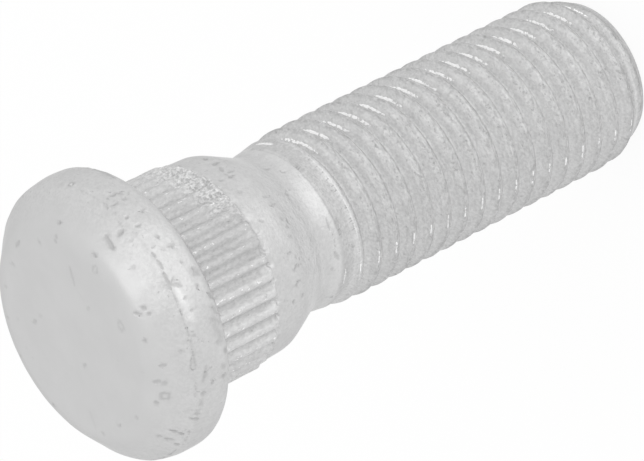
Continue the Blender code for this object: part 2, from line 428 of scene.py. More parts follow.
class RolledSurface(SkinTree):
    """Geometry tree that winds a thread's section into a skin with a run-out and a taper."""

    def __init__(self) -> None:
        """Builds the tree."""
        super().__init__("rolled_surface", ("Columns", "Turns"), (
            "Pitch", "Start", "Top", "Bottom", "Crest Radius", "Root Radius", "Blank Radius",
            "Blank Height", "Flare Slope", "Run-out End", "Groove Start", "Groove Fade",
            "First Cut", "End Radius", "End Slope", "End Blend", "Edge Fade", "Raggedness",
            "Rag Size"))
        add, given = self.add, self.given
        self.lay(add(TIMES, (self.count, given["Turns"])))
        part = add(PLUS, (self.row, 0.5))
        cycles = add(SHARE_OF, (part, self.count))
        cycle = add(FLOORED, (cycles,))
        passed = add(TIMES, (cycle, self.count))
        sunk = self.sample(add(MINUS, (self.row, passed)))
        # Height of this turn of the groove, then of the point itself
        wound = add(PLUS, (cycle, self.turn))
        groove = add(TIMES_PLUS, (wound, given["Pitch"], given["Start"]))
        free = add(PLUS, (groove, sunk.outputs[2]))
        z = add("ShaderNodeClamp", {"Value": free, "Min": given["Bottom"], "Max": given["Top"]})
        # Crests rise over the run-out, from the flare that leads to it
        risen = add(MAP_RANGE, (z, given["Blank Height"], given["Run-out End"],
                                given["Blank Radius"], given["Crest Radius"]))
        over = add(MINUS, (z, given["Blank Height"]))
        past = add(LARGER, (over, 0.0))
        drawn = add(TIMES, (past, given["Flare Slope"]))
        crest = add(MINUS, (risen, drawn))
        # Grooves open along the helix, with a first cut and then deeper over the run-out
        opened = add(MINUS, (given["Groove Start"], given["Groove Fade"]))
        first = add(MAP_RANGE, (groove, given["Groove Start"], opened, 0.0, given["First Cut"]),
                    interpolation_type="SMOOTHSTEP")
        whole = add(MINUS, (given["Crest Radius"], given["Root Radius"]))
        rest = add(MINUS, (whole, given["First Cut"]))
        second = add(MAP_RANGE, (groove, opened, given["Run-out End"], 0.0, rest))
        cut = add(PLUS, (first, second))
        low = add(MINUS, (crest, cut))
        formed = add(MIX, {"Factor": sunk, "A": crest, "B": low})
        # The end's taper trims the last turns
        taper = add(TIMES_PLUS, (z, given["End Slope"], given["End Radius"]))
        trimmed = add(BLENDED_MIN, (formed, taper, given["End Blend"]))
        near_end = add(PLUS, (given["Bottom"], given["Edge Fade"]))
        edge = add(MAP_RANGE, (z, near_end, given["Bottom"]), interpolation_type="SMOOTHSTEP")
        smooth_radius = add(MIX, {"Factor": edge, "A": trimmed, "B": taper})
        # How much of the crest a point is, for the ragged edge and the wear on the crests
        high = add(MINUS, (1.0, sunk))
        full = add(MAP_RANGE, (z, given["Blank Height"], given["Run-out End"]))
        worn = add(TIMES, (high, full))
        across, along = (add(TIMES, (way, given["Crest Radius"]))
                         for way in (self.cosine, self.sine))
        rag = self.scatter(add(COMBINE, (across, along, z)), "Rag Size", 2.0)
        at_crest = add(TIMES, (rag, worn))
        radius = add(TIMES_PLUS, (at_crest, given["Raggedness"], smooth_radius))
        deep = add(TIMES, (sunk, full))
        flank = add(SHARE_OF, (sunk.outputs[2], given["Pitch"]))
        self.close(radius, z, {CREST: worn, HOLLOW: deep, FLANK: flank}, 0.02 * MM)


@dataclass
class Skin:
    """Points, faces and point attributes of one zone, or of several that are sewn together."""

    points: np.ndarray
    faces: list[tuple[int, ...]]
    shares: dict[str, np.ndarray]

    @classmethod
    def from_mesh(cls, mesh: Mesh) -> "Skin":
        """Reads a mesh that a geometry tree made.

        Args:
            mesh: The mesh, which is removed.

        Returns:
            The mesh as a skin.
        """
        points = np.zeros(len(mesh.vertices) * 3)
        mesh.vertices.foreach_get("co", points)
        shares = {name: np.zeros(len(mesh.vertices)) for name in (CREST, HOLLOW, FLANK)}
        for name, values in shares.items():
            if name in mesh.attributes:
                mesh.attributes[name].data.foreach_get("value", values)
        faces = [tuple(face.vertices) for face in mesh.polygons]
        bpy.data.meshes.remove(mesh)
        return cls(points.reshape(-1, 3), faces, shares)

    def ring(self, top: bool) -> list[int]:
        """Finds an open end of the skin.

        Args:
            top: True for the upper end, False for the lower one.

        Returns:
            Its points in order of angle.
        """
        uses: dict[tuple[int, int], int] = {}
        for face in self.faces:
            for a, b in zip(face, face[1:] + face[:1]):
                key = (min(a, b), max(a, b))
                uses[key] = uses.get(key, 0) + 1
        found = np.array(sorted({v for edge, n in uses.items() if n == 1 for v in edge}))
        heights = self.points[found, 2]
        middle = (self.points[:, 2].min() + self.points[:, 2].max()) / 2
        chosen = found[(heights > middle) == top]
        angles = np.arctan2(self.points[chosen, 1], self.points[chosen, 0]) % math.tau
        return [int(v) for v in chosen[np.argsort(angles)]]

    def sew(self, other: "Skin") -> "Skin":
        """Sews this skin's lower end to another's upper end with a band of triangles.

        Args:
            other: The skin below it.

        Returns:
            One skin.
        """
        offset = len(self.points)
        points = np.vstack([self.points, other.points])
        upper = self.ring(top=False)
        lower = [v + offset for v in other.ring(top=True)]
        angles = np.arctan2(points[:, 1], points[:, 0]) % math.tau
        band = []
        i = j = 0
        while i < len(upper) or j < len(lower):
            a, b = upper[i % len(upper)], lower[j % len(lower)]
            next_a, next_b = upper[(i + 1) % len(upper)], lower[(j + 1) % len(lower)]
            reach_a = angles[next_a] + (math.tau if i + 1 >= len(upper) else 0.0)
            reach_b = angles[next_b] + (math.tau if j + 1 >= len(lower) else 0.0)
            if j >= len(lower) or (i < len(upper) and reach_a <= reach_b):
                band.append((a, b, next_a))
                i += 1
            else:
                band.append((a, b, next_b))
                j += 1
        faces = self.faces + band + [tuple(v + offset for v in face) for face in other.faces]
        shares = {name: np.concatenate([values, other.shares[name]])
                  for name, values in self.shares.items()}
        return Skin(points, faces, shares)


class MarkForm(Enum):
    """Forms of the marks in the steel."""

    PIT = "scale pit with a crisp edge and a faint rim"
    DENT = "shallow smooth dent"
    # A nick is pressed in as a shallow dent, and its colour is painted bright as a glint
    NICK = "fresh nick that still shines"
    RING = "worn pit round an island"
    FOLD = "fine line where metal folded over"


# Share of its depth that each form darkens the steel by; the nick's negative share paints it bright
# as a glint
FORM_STAIN = {MarkForm.PIT: 0.5, MarkForm.DENT: 0.38, MarkForm.NICK: -1.6, MarkForm.RING: 0.5,
              MarkForm.FOLD: 0.5}


@dataclass(frozen=True)
class Mark:
    """One mark, from one place to another, in mm and degrees.

    A place is (turn, depth) on the side, or (x, y) on the head's outer face.
    """

    form: MarkForm
    start: tuple[float, float]
    end: tuple[float, float]
    width: float
    depth: float
    on_face: bool = False


def pit(start: tuple[float, float], width: float, depth: float = 0.05,
        end: tuple[float, float] | None = None, form: MarkForm = MarkForm.PIT) -> Mark:
    """Makes a mark, round where it has no end of its own."""
    return Mark(form, start, end or start, width, depth)


@dataclass
class Wear:
    """Marks that the forging, rolling and handling left, and how they go into the mesh."""

    marks: list[Mark] = field(default_factory=list)
    profile: list[tuple[float, float]] = field(default_factory=list)
    passes: int = 3
    finest: float = 0.06
    coarsest: float = 0.11
    too_long: float = 1.35
    reach: float = 1.9
    broken_edge: float = 0.5
    rim_height: float = 0.16
    full_stain_depth: float = 0.05
    seed: int = 12

    def path(self, mark: Mark) -> np.ndarray:
        """Lays a mark's middle line on the stud.

        Args:
            mark: The mark.

        Returns:
            Points along it, in mm.
        """
        share = np.linspace(0, 1, 2 + int(abs(mark.end[0] - mark.start[0]) / 2.5))[:, None]
        line = np.array(mark.start) * (1 - share) + np.array(mark.end) * share
        if mark.on_face:
            return np.column_stack([line, np.full(len(line), STUD_LENGTH)])
        radii, depths = np.array(self.profile).T
        radius = np.interp(line[:, 1], depths, radii)
        turn = -np.radians(line[:, 0])
        return np.column_stack([
            radius * np.cos(turn), radius * np.sin(turn), STUD_LENGTH - line[:, 1]])

    def spread(self, mark: Mark, points: np.ndarray, reach: float) -> tuple[np.ndarray, np.ndarray]:
        """Finds the points near a mark.

        Args:
            mark: The mark.
            points: Points in mm.
            reach: How far from the middle line to look, in half widths.

        Returns:
            Their places in the list, and their distances from the middle line in half widths.
        """
        path = self.path(mark)
        room = reach * mark.width / 2
        inside = (points > path.min(axis=0) - room) & (points < path.max(axis=0) + room)
        close = np.flatnonzero(inside.all(axis=1))
        far = np.full(len(close), np.inf)
        for number, (start, end) in enumerate(zip(path, path[1:])):
            way = end - start
            share = np.clip((points[close] - start) @ way / max(1e-9, way @ way), 0, 1)
            gap = np.linalg.norm(points[close] - start - share[:, None] * way, axis=1)
            # A long mark is widest in its middle
            along = 2 * (share + number) / (len(path) - 1) - 1
            along = along if mark.start != mark.end else 0 * share
            far = np.minimum(far, gap / (mark.width / 2) / (1.05 - 0.45 * along ** 2))
        return close[far < reach], far[far < reach]

    def refine(self, bm: bmesh.types.BMesh) -> None:
        """Splits the edges round each mark until they can carry its shape.

        Args:
            bm: The mesh, in metres.
        """
        for _ in range(self.passes):
            bm.verts.ensure_lookup_table()
            bm.edges.ensure_lookup_table()
            bm.normal_update()
            places = np.array([v.co for v in bm.verts]) / MM
            ends = np.array([[e.verts[0].index, e.verts[1].index] for e in bm.edges])
            lengths = np.linalg.norm(places[ends[:, 0]] - places[ends[:, 1]], axis=1)
            middles = places[ends].mean(axis=1)
            chosen = np.zeros(len(ends), bool)
            for mark in self.marks:
                need = max(self.finest, min(self.coarsest, mark.width / 4))
                close, _ = self.spread(mark, middles, 1.45 + 0.13 / mark.width)
                chosen[close] |= lengths[close] > need * self.too_long
            if not chosen.any():
                break
            bmesh.ops.subdivide_edges(bm, edges=[bm.edges[i] for i in np.flatnonzero(chosen)],
                                      cuts=1, use_grid_fill=True, smooth=1.0)

    def press(self, bm: bmesh.types.BMesh) -> None:
        """Presses every mark into the mesh, darkens it, and paints the nicks bright as glints.

        Args:
            bm: The refined mesh, in metres.
        """
        bm.verts.ensure_lookup_table()
        bm.normal_update()
        places = np.array([v.co for v in bm.verts]) / MM
        ways = np.array([v.normal for v in bm.verts])
        sunk = np.zeros(len(places))
        stain = np.zeros(len(places))
        rng = random.Random(self.seed)
        for mark in self.marks:
            close, far = self.spread(mark, places, self.reach)
            if not len(close):
                continue
            shift = Vector((rng.uniform(0, 50), rng.uniform(0, 50), rng.uniform(0, 50)))
            grain = 1.6 / max(mark.width, 0.12)
            uneven = np.array([noise.noise(Vector(places[i]) * grain + shift) for i in close])
            fine = np.array([noise.noise(Vector(places[i]) * grain * 2.3 - shift) for i in close])
            near = far * (1 + self.broken_edge * uneven) + self.broken_edge / 2 * fine
            if mark.form is MarkForm.RING:
                shape = np.exp(-((near - 0.7) / 0.28) ** 2)
            elif mark.form in (MarkForm.DENT, MarkForm.NICK):
                shape = np.clip(1 - near ** 2, 0, 1) ** 1.5
            elif mark.form is MarkForm.FOLD:
                shape = np.clip(1 - near, 0, 1) * np.clip(0.75 + 1.6 * uneven, 0, 1)
            else:
                x = np.clip((1.05 - near) / 0.6, 0, 1)
                shape = x * x * (3 - 2 * x)
                sunk[close] -= self.rim_height * mark.depth * np.exp(-((near - 1.25) / 0.2) ** 2)
            sunk[close] = np.maximum(sunk[close], mark.depth * shape)
            strength = min(1.0, mark.depth / self.full_stain_depth) * FORM_STAIN[mark.form]
            if mark.form is MarkForm.PIT:
                halo = np.clip((1.5 - near) / 1.1, 0, 1)
                shape = halo * halo * (3 - 2 * halo)
            # Positive values darken a mark; a nick's negative value paints it bright as a glint
            dark = shape * strength
            stain[close] = np.where(abs(dark) > abs(stain[close]), dark, stain[close])
        moved = (places - ways * sunk[:, None]) * MM
        layer = bm.verts.layers.float.new(STAIN)
        for vert, place, dark in zip(bm.verts, moved, stain):
            vert.co = place
            vert[layer] = float(dark)


@dataclass
class TurnedZone:
    """Zone of the stud that is turned from an outline."""

    name: ClassVar[str]
    columns: int = 240

    def cuts(self) -> dict[str, Any]:
        """Gives the tree's inputs for teeth, of which there are none here, and for unevenness."""
        return {"Teeth": 0, "Tooth Depth": 0.0, "Unevenness": UNEVENNESS,
                "Spot Size": SPOT_SIZE * MM}

    def skin(self, turned: TurnedSurface, steel: Material) -> Skin:
        """Turns the zone's skin.

        Args:
            turned: The tree that turns outlines.
            steel: The stud's material.

        Returns:
            The zone's skin.
        """
        return Skin.from_mesh(run_tree(turned.tree, self.outline().mesh(self.name), {
            "Columns": self.columns, "Material": steel, **self.cuts()}))


@dataclass
class ForgedHead(TurnedZone):
    """Round head with a coined outer face, a crease above its rim and a flat underside."""

    name = "forged_head"

    height: float = 4.75
    radius: float = 9.45
    face_radius: float = 7.1
    crease_inset: float = 0.17
    crease_depth: float = 2.1
    rim_depth: float = 3.25
    band_radius: float = 7.03
    band_gap: float = 0.26
    face_wear: float = 0.6

    def outline(self) -> Outline:
        """Lays the outline from the middle of the outer face to the root of the serrated band.

        Returns:
            The outline.
        """
        return Outline((
            Corner(0.0, 0.0), Corner(self.face_radius, 0.0, 1.9),
            Corner(self.radius - self.crease_inset, self.crease_depth, 0.7),
            Corner(self.radius, self.rim_depth, 3.0), Corner(self.radius, self.height, 0.8),
            Corner(self.band_radius, self.height, 0.25),
            Corner(self.band_radius, self.height + self.band_gap)), step=0.3)

    def face_marks(self) -> list[Mark]:
        """Lists the marks on the outer face, at (x, y).

        Returns:
            The marks, as shallow as coining left them.
        """
        ring, dent = MarkForm.RING, MarkForm.DENT
        made = [
            pit((1.05, -2.85), 0.44, 0.05, (1.05, -3.15), dent),
            pit((2.7, -2.8), 0.37, 0.05, (3.8, -3.25), dent),
            pit((1.4, -2.95), 0.14, 0.015, (2.5, -2.85), dent),
            pit((-0.8, -5.4), 0.72, 0.05, None, ring),
            pit((2.85, -5.5), 0.5, 0.05, (3.0, -5.9), ring),
            pit((-1.92, 0.5), 0.28, 0.05, (-1.92, 0.2)), pit((1.85, 3.5), 0.31, 0.05, (1.87, 3.1)),
            pit((2.0, 2.5), 0.27, 0.02, (2.0, 2.2)), pit((5.65, 2.5), 0.31, 0.05),
            pit((6.5, 1.2), 0.3, 0.06, (6.66, 0.65)), pit((6.0, -1.45), 0.31, 0.04),
            pit((5.6, -3.15), 0.27), pit((5.8, -3.42), 0.3, 0.05), pit((4.6, 4.5), 0.28, 0.04),
            pit((2.5, 4.95), 0.36, 0.025, None, dent), pit((-0.1, 5.5), 0.32, 0.02, None, dent),
            pit((0.65, 5.6), 0.32, 0.02, None, dent), pit((0.4, 6.8), 0.3, 0.05),
            pit((2.9, 6.0), 0.3, 0.04), pit((-6.2, 2.15), 0.32, 0.04),
            pit((-6.2, 0.05), 0.32, 0.04), pit((-6.2, -2.2), 0.32, 0.04),
            pit((-5.7, 2.6), 0.44, 0.02, (-4.6, 2.3), dent),
            pit((-2.6, -3.35), 0.27, 0.015, None, dent), pit((-3.9, -5.2), 0.37, 0.02, None, dent),
            pit((-3.25, 5.9), 0.3), pit((-3.7, 6.1), 0.3),
        ]
        return [Mark(m.form, m.start, m.end, m.width, m.depth * self.face_wear, True) for m in made]

    def side_marks(self) -> list[Mark]:
        """Lists the marks on the shoulder and the rim, at (turn, depth).

        Returns:
            The marks.
        """
        ring, dent = MarkForm.RING, MarkForm.DENT
        return [
            pit((57, 1.02), 0.4, 0.07, (63.5, 0.9)), pit((61.5, 1.7), 0.41, 0.06, (60.5, 1.52)),
            pit((31, 0.45), 0.3), pit((58.5, 0.2), 0.29), pit((66.5, 1.75), 0.34, 0.02),
            pit((76, 1.1), 0.29, 0.02), pit((39, 1.35), 0.16, 0.012, (52, 1.6), dent),
            # The nick inside this ring is painted bright as a glint
            pit((27, 2.2), 0.5, 0.05, None, ring), pit((27, 2.2), 0.3, 0.016, None, MarkForm.NICK),
            pit((46.5, 2.75), 0.34, 0.05, (46.5, 3.1)), pit((47.5, 3.2), 0.34, 0.04, (47.3, 3.35)),
            pit((50.5, 2.25), 0.3, 0.04, (50.5, 2.7)), pit((51, 3.05), 0.34, 0.04, (50.6, 3.25)),
            pit((58.5, 2.32), 0.28), pit((59.3, 3.3), 0.28, 0.03, (58.8, 3.75)),
            pit((63.7, 2.35), 0.28, 0.04, (63.9, 2.65)), pit((71.7, 2.95), 0.29, 0.06, (71.6, 3.1)),
            pit((74, 2.35), 0.26, 0.03, (74, 2.5)), pit((76.8, 2.75), 0.29, 0.03, (77, 2.95)),
            pit((76.9, 3.3), 0.3, 0.04, (76.8, 3.65)), pit((84, 3.35), 0.26, 0.03, (84.3, 3.5)),
            pit((93.8, 0.2), 0.3, 0.05, (95.5, 0.33)), pit((93, 0.55), 0.33, 0.05, (94.3, 0.65)),
            pit((97, 0.72), 0.29), pit((108.5, 0.2), 0.29),
            pit((116, 1.45), 0.29, 0.04, (116, 1.57)), pit((121.9, 0.5), 0.28, 0.04, (121.7, 0.8)),
            pit((130.7, 0.25), 0.33, 0.04, (129.8, 0.45)), pit((131, 0.65), 0.39, 0.04),
            pit((138, 0.68), 0.68, 0.05, None, ring), pit((142.8, 0.36), 0.36),
            pit((159, 1.36), 0.3, 0.05, (158.8, 1.5)), pit((159.2, 1.65), 0.3, 0.05, (159, 1.8)),
            pit((166, 0.92), 0.34, 0.04, (165, 1.0)), pit((166, 1.25), 0.29, 0.04, (164.8, 1.55)),
            pit((167.5, 1.85), 0.34), pit((90, 2.2), 0.3, 0.04, (92, 2.65)),
            pit((89, 2.25), 0.28, 0.04, (89, 2.5)), pit((96.8, 2.55), 0.3, 0.04),
            pit((102, 2.6), 0.28, 0.03), pit((111, 2.2), 0.29, 0.04, (111.3, 2.35)),
            pit((124.5, 2.7), 0.45, 0.05, (130.5, 2.4), dent),
            pit((146, 2.1), 0.45, 0.04, (144, 2.3), dent),
            pit((132.4, 2.98), 0.29, 0.04, (132.8, 3.12)),
            pit((135.5, 2.3), 0.3, 0.04, (136, 2.45)),
            pit((140, 2.35), 0.6, 0.045, (142, 2.4), dent),
            pit((148.6, 2.0), 0.33, 0.05, (149, 2.3)), pit((146, 2.05), 0.28, 0.04, (146, 2.3)),
            pit((90.5, 3.75), 0.57, 0.05, (90, 4.3), dent),
            pit((108, 3.8), 0.52, 0.05, (111, 4.3), dent),
            pit((117, 3.7), 0.57, 0.06, (118, 4.1), dent),
            pit((127, 3.8), 0.41, 0.05, (128.5, 4.1), dent), pit((132, 3.93), 0.34),
            pit((122, 4.3), 0.4, 0.05), pit((23, 4.35), 0.5, 0.06, (38, 4.2), dent),
            pit((88, 3.95), 0.45, 0.05, (91, 4.1)), pit((99, 4.2), 0.35, 0.05, (101, 4.4)),
            pit((104, 4.1), 0.3, 0.04, (107, 4.3)), pit((109, 3.75), 0.8, 0.035, (117, 4.2), dent),
            # The long nick at the end is painted pale as a highlight on the rim below the crease
            pit((95, 3.7), 0.3, 0.04), pit((92, 2.35), 0.75, 0.011, (105, 2.45), MarkForm.NICK),
        ]

    def crease_marks(self) -> list[Mark]:
        """Lists the broken fold line between the shoulder and the rim, at (turn, depth).

        Returns:
            The marks.
        """
        fold, ring = MarkForm.FOLD, MarkForm.RING
        return [
            pit((48, 2.05), 0.3, 0.03, (49, 2.02), MarkForm.DENT),
            pit((20, 2.08), 0.31, 0.03, (23, 2.1), fold),
            pit((34, 2.05), 0.23, 0.03, (44, 2.05), fold),
            pit((46.5, 2.1), 0.34, 0.06, (50, 2.02), fold),
            pit((53, 2.05), 0.28, 0.05, (56, 2.05), fold),
            pit((57, 1.87), 0.25, 0.04, (60, 1.85), fold),
            pit((64.5, 2.0), 0.23, 0.03, (66, 2.1), fold),
            pit((76, 2.12), 0.24, 0.05, (77.5, 2.12)), pit((79.5, 2.12), 0.24, 0.05, (83, 2.14)),
            pit((85, 2.08), 0.27, 0.06, (91.5, 2.0)), pit((92, 2.0), 0.23, 0.05, (106, 1.98), fold),
            pit((107, 2.0), 0.31, 0.06, (117, 2.02), fold),
            pit((119, 1.97), 0.41, 0.06, (124, 1.9), ring),
            pit((117, 2.0), 0.34, 0.07, (125, 2.0), fold),
            pit((130, 1.95), 0.27, 0.06, (137, 1.92), fold),
            pit((143.5, 2.05), 0.31, 0.07, (147.5, 2.2), fold),
            pit((156, 2.0), 0.34, 0.06, (158.5, 2.1), fold),
            pit((160, 2.05), 0.27, 0.05, (167, 2.15), fold),
            pit((172, 2.05), 0.24, 0.05, (195, 2.08), fold),
            pit((205, 2.1), 0.24, 0.05, (232, 2.04), fold),
            pit((240, 2.05), 0.31, 0.06, (251, 2.1), fold),
            pit((270, 2.1), 0.24, 0.04, (300, 2.04), fold),
            pit((318, 2.02), 0.31, 0.05, (333, 2.1), fold),
        ]


@dataclass
class SerratedBand(TurnedZone):
    """Band of rolled teeth that is pressed into the hub."""

    name = "serrated_band"
    top: float = 5.06
    teeth_end: float = 10.65
    bottom: float = 11.1
    radius: float = 7.03
    collar_radius: float = 6.83
    teeth: int = 38
    tooth_phase: float = 0.5
    tooth_depth: float = 0.35
    crest_share: float = 0.03
    floor_share: float = 0.46
    fade: float = 0.42
    end_wander: float = 1.6
    unevenness: float = 0.02
    spot_size: float = 0.6
    columns_per_tooth: int = 16

    def outline(self) -> Outline:
        """Lays the outline over the crests, down to the step onto the collar.

        Returns:
            The outline.
        """
        return Outline((
            Corner(self.radius, self.top), Corner(self.radius, self.teeth_end - 0.05, 0.25),
            Corner(self.collar_radius, self.teeth_end + 0.17, 0.2),
            Corner(self.collar_radius - 0.01, self.bottom)), step=0.6)

    def cuts(self) -> dict[str, Any]:
        """Gives the tree's inputs for the teeth, which end a little above and below their line.

        Returns:
            The values, by input name.
        """
        return {
            "Columns": self.teeth * self.columns_per_tooth, "Teeth": self.teeth,
            "Tooth Phase": self.tooth_phase, "Tooth Depth": self.tooth_depth * MM,
            "Crest Share": self.crest_share, "Floor Share": self.floor_share,
            "Teeth Top": (STUD_LENGTH - self.top - 0.02) * MM,
            "Teeth Bottom": (STUD_LENGTH - self.teeth_end - 0.3) * MM, "Fade": self.fade * MM,
            "End Wander": self.end_wander * MM, "Unevenness": self.unevenness,
            "Spot Size": self.spot_size * MM}


@dataclass
class PlainNeck(TurnedZone):
    """Collar below the serrated band, and the waist below the collar."""

    name = "plain_neck"
    top: float = 11.2
    bottom: float = 16.9
    collar_radius: float = 6.83

    def outline(self) -> Outline:
        """Lays the outline from the collar through the waist into the flare.

        Returns:
            The outline.
        """
        return Outline((
            Corner(self.collar_radius - 0.015, self.top), Corner(6.73, 13.0, 2.2),
            Corner(5.332, 15.9, 1.7), Corner(5.479, self.bottom)), step=0.25)

    def marks(self) -> list[Mark]:
        """Lists the marks on the collar, the waist and the flare, at (turn, depth).

        Returns:
            The marks.
        """
        dent, fold = MarkForm.DENT, MarkForm.FOLD
        return [
            pit((27.5, 12.45), 0.3, 0.06, (26, 12.65)), pit((36, 12.25), 0.33, 0.05, (36, 12.6)),
            pit((40.5, 12.35), 0.3, 0.04, (44, 12.2)),
            pit((36, 13.1), 0.28, 0.03, (34.5, 13.5), dent),
            pit((49.5, 11.3), 0.37, 0.04, (49.7, 11.5)), pit((50.4, 12.05), 0.33, 0.05, (50, 12.3)),
            pit((46.8, 12.35), 0.28, 0.04, (47, 12.8)),
            pit((49, 13.6), 0.19, 0.02, (48.5, 13.85), dent),
            pit((61.5, 11.65), 0.34, 0.04, (61.7, 11.9)), pit((46.6, 15.5), 0.3, 0.03, (46, 15.85)),
            pit((72, 15.15), 0.3, 0.03, (71.2, 15.4)), pit((70.5, 12.95), 0.23, 0.03, (70.6, 13.2)),
            pit((76.6, 13.05), 0.25, 0.03, (76.3, 13.35)),
            pit((81.3, 11.6), 0.23, 0.03, (81.8, 11.85)),
            pit((85.5, 13.15), 0.24, 0.03, (85.3, 13.4)), pit((86, 13.7), 0.27, 0.03, (88.5, 13.6)),
            pit((90.2, 13.2), 0.25, 0.03, (90.5, 13.5)),
            pit((95.3, 13.0), 0.22, 0.03, (95.6, 13.3)),
            pit((103, 12.45), 0.24, 0.04, (103.6, 12.75)), pit((106.7, 13.0), 0.25, 0.03),
            pit((112.8, 12.6), 0.25, 0.04, (110.5, 12.9)),
            pit((112, 13.0), 0.25, 0.04, (111.5, 13.1)),
            pit((111.5, 13.65), 0.27, 0.02, (111.9, 13.85)), pit((108.7, 13.3), 0.25, 0.03),
            pit((119.5, 12.6), 0.23, 0.04, (119.8, 12.8)), pit((121, 12.5), 0.23, 0.04),
            pit((129.7, 12.1), 0.28, 0.04), pit((129.3, 12.95), 0.26, 0.04),
            pit((53.5, 16.3), 0.23, 0.03, (55, 16.4)),
            pit((97, 16.95), 0.22, 0.05, (105, 16.9), fold),
            pit((107, 17.0), 0.22, 0.05, (117, 16.98), fold),
            pit((121, 16.85), 0.31, 0.05, (126, 17.05)),
            pit((119, 16.55), 0.14, 0.02, (124, 16.55), dent), pit((132, 16.6), 0.24, 0.03),
            pit((161, 17.0), 0.28, 0.04, (160, 17.1)), pit((5.5, 14.15), 0.33, 0.05, (3.5, 14.4)),
        ]


@dataclass
class RolledThread:
    """Right-hand M12 x 1.5 thread with rounded crests, a run-out and a tapered end."""

    top: float = 16.98
    blank_depth: float = 17.05
    run_out: float = 2.5
    pitch: float = 1.5
    crest_radius: float = 5.88
    root_radius: float = 5.04
    blank_radius: float = 5.502
    phase: float = 0.96
    flare_slope: float = 0.149
    groove_start: float = 18.1
    groove_fade: float = 0.7
    first_cut: float = 0.07
    bottom: float = 0.34
    end_radius: float = 4.9
    end_slope: float = 0.467
    end_blend: float = 0.25
    edge_fade: float = 0.3
    raggedness: float = 0.06
    rag_size: float = 0.5
    columns: int = 200

    def section(self) -> Mesh:
        """Makes one pitch of the groove, from crest to crest.

        Returns:
            A mesh of points, with the share of the groove's depth along X and the height along Z.
        """
        # Share of the depth, and of the pitch: a rounded crest, a straight flank, a rounded root
        half = ((0.0, 0.0), (0.03, 0.075), (0.14, 0.125), (0.86, 0.39), (0.97, 0.445))
        shape = [(s, h) for s, h in half] + [(1.0, 0.5)] + [(s, 1 - h) for s, h in half[:0:-1]]
        mesh = bpy.data.meshes.new("thread_section")
        mesh.from_pydata([(s, 0.0, h * self.pitch * MM) for s, h in shape], [], [])
        return mesh

    def skin(self, rolled: RolledSurface, steel: Material) -> Skin:
        """Winds the thread's skin.

        Args:
            rolled: The tree that winds sections.
            steel: The stud's material.

        Returns:
            The zone's skin.
        """
        # The winding starts three turns below the end, and is clamped to the zone
        start = self.phase - 3 * self.pitch
        turns = math.ceil((STUD_LENGTH - self.top - start) / self.pitch) + 1
        lengths = {
            "Pitch": self.pitch, "Start": start, "Top": STUD_LENGTH - self.top,
            "Bottom": self.bottom,
            "Crest Radius": self.crest_radius, "Root Radius": self.root_radius,
            "Blank Radius": self.blank_radius, "Blank Height": STUD_LENGTH - self.blank_depth,
            "Run-out End": STUD_LENGTH - self.blank_depth - self.run_out,
            "Groove Start": STUD_LENGTH - self.groove_start, "Groove Fade": self.groove_fade,
            "First Cut": self.first_cut, "End Radius": self.end_radius, "End Blend": self.end_blend,
            "Edge Fade": self.edge_fade, "Raggedness": self.raggedness, "Rag Size": self.rag_size}
        return Skin.from_mesh(run_tree(rolled.tree, self.section(), {
            "Columns": self.columns, "Turns": turns, "Flare Slope": self.flare_slope,
            "End Slope": self.end_slope, "Material": steel,
            **{name: length * MM for name, length in lengths.items()}}))

    def marks(self) -> list[Mark]:
        """Lists the line where the rolling starts, and the first crest's edge and a few spots by
        it, which are painted bright as highlights and glints.

        Returns:
            The marks, each wound with the thread.
        """
        lead = self.pitch / 360
        lines = [(MarkForm.DENT, 16.98, a, b, w, d) for a, b, w, d in (
            (14, 62, 0.2, 0.03), (52, 110, 0.22, 0.035), (160, 215, 0.2, 0.02))]
        # The first crest's edge is painted bright as a highlight
        lines += [(MarkForm.NICK, 18.17, a, b, w, d) for a, b, w, d in (
            (26, 50, 0.17, 0.01), (54, 88, 0.22, 0.016), (91, 117, 0.2, 0.015),
            (120, 150, 0.15, 0.01))]
        # These spots are painted bright as glints
        lines += [(MarkForm.NICK, *nick) for nick in (
            (17.78, 10, 26, 0.32, 0.05), (17.05, 136, 151, 0.2, 0.045),
            (17.45, 154, 158, 0.36, 0.05))]
        return [Mark(form, (a, depth + a * lead), (b, depth + b * lead), w, d)
                for form, depth, a, b, w, d in lines]


@dataclass
class ThreadedEnd(TurnedZone):
    """Rounded edge and plain flat of the threaded end, which the stud stands on."""

    name = "threaded_end"
    top: float = 0.3
    face_radius: float = 4.9
    edge_slope: float = 0.467
    columns: int = 200

    def outline(self) -> Outline:
        """Lays the outline from the taper to the middle of the end face.

        Returns:
            The outline.
        """
        return Outline((
            Corner(self.face_radius + self.edge_slope * self.top, STUD_LENGTH - self.top),
            Corner(self.face_radius, STUD_LENGTH, 0.3), Corner(0.0, STUD_LENGTH)), step=0.4)


@dataclass(frozen=True)
class Grain:
    """One layer of the steel's skin, made of spots of a size.

    Tone is how much lighter the spots are, or darker where it is negative, and relief is how far
    they stand up in mm. Stretch divides the size along each axis.
    """

    size: float
    tone: float = 0.0
    relief: float = 0.0
    low: float = 0.35
    high: float = 0.65
    detail: float = 2.0
    stretch: tuple[float, float, float] = (1.0, 1.0, 1.0)
    one_sided: bool = False


